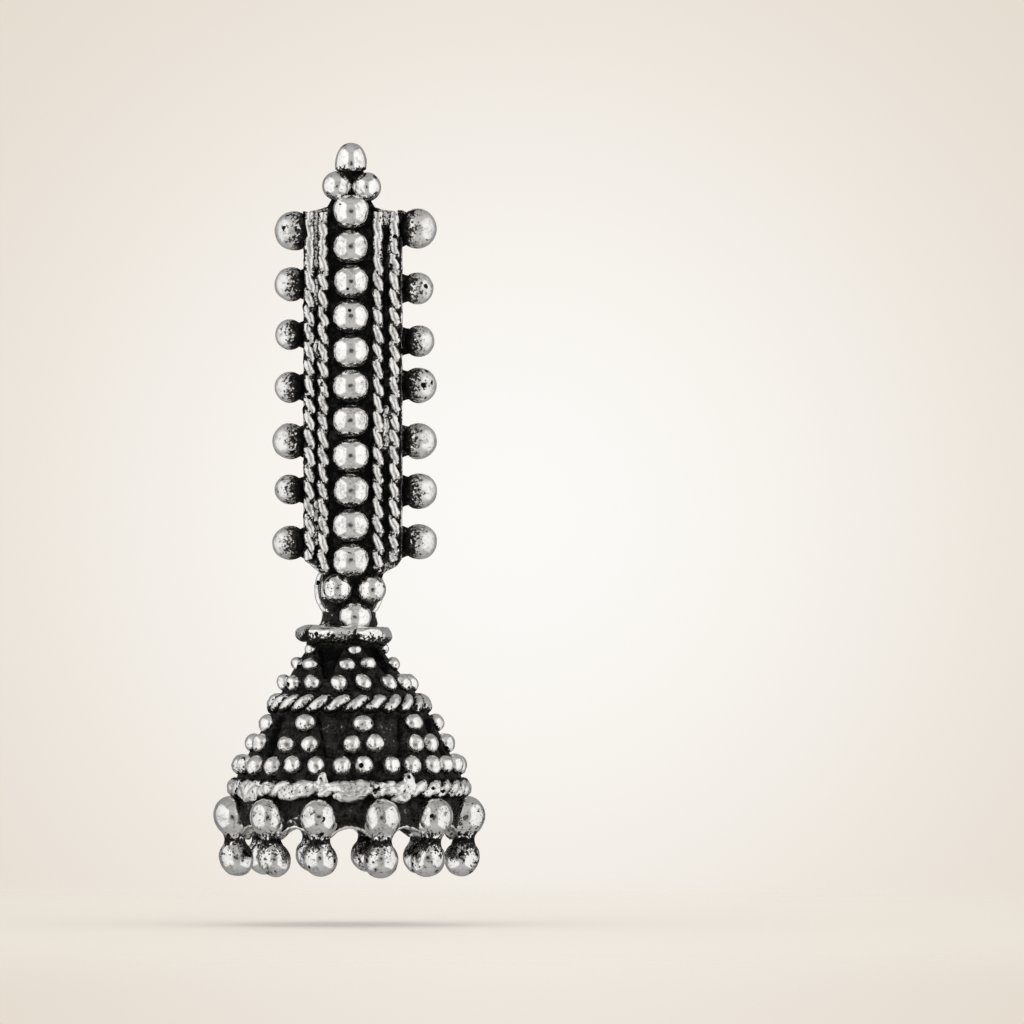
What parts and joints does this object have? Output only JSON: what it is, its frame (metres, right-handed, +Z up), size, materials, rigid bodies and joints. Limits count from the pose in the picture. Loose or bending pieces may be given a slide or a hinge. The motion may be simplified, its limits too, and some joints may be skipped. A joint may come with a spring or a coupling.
{
  "type": "jhumka drop earring",
  "caption": "Oxidised silver jhumka earring: a long beaded ear plate with a post, and a hollow beaded bell that swings below it.",
  "frame": {"origin": "where the ear post leaves the flat back of the ear plate", "axes": "+Z up along the hanging earring, +Y from the plate's front to the ear, +X to the right as seen from the front"},
  "size_m": [0.0195, 0.0197, 0.055],
  "materials": {
    "plate_silver": "cast silver, blackened in the recesses and polished on the high points",
    "post_silver": "plain drawn silver wire, lightly polished",
    "bell_silver": "cast silver, blackened in the recesses and polished on the high points"
  },
  "bodies": {
    "plate": {"ear_plate": "plate_silver", "ear_post": "post_silver"},
    "hanging_bell": {"bell": "bell_silver"}
  },
  "joints": [
    {"name": "bell_swing", "type": "hinge", "parent": "plate", "child": "hanging_bell", "pos_m": [-0.00015, 0.001, -0.0222], "axis": [0, 1, 0], "range_deg": [-25, 25]}
  ]
}
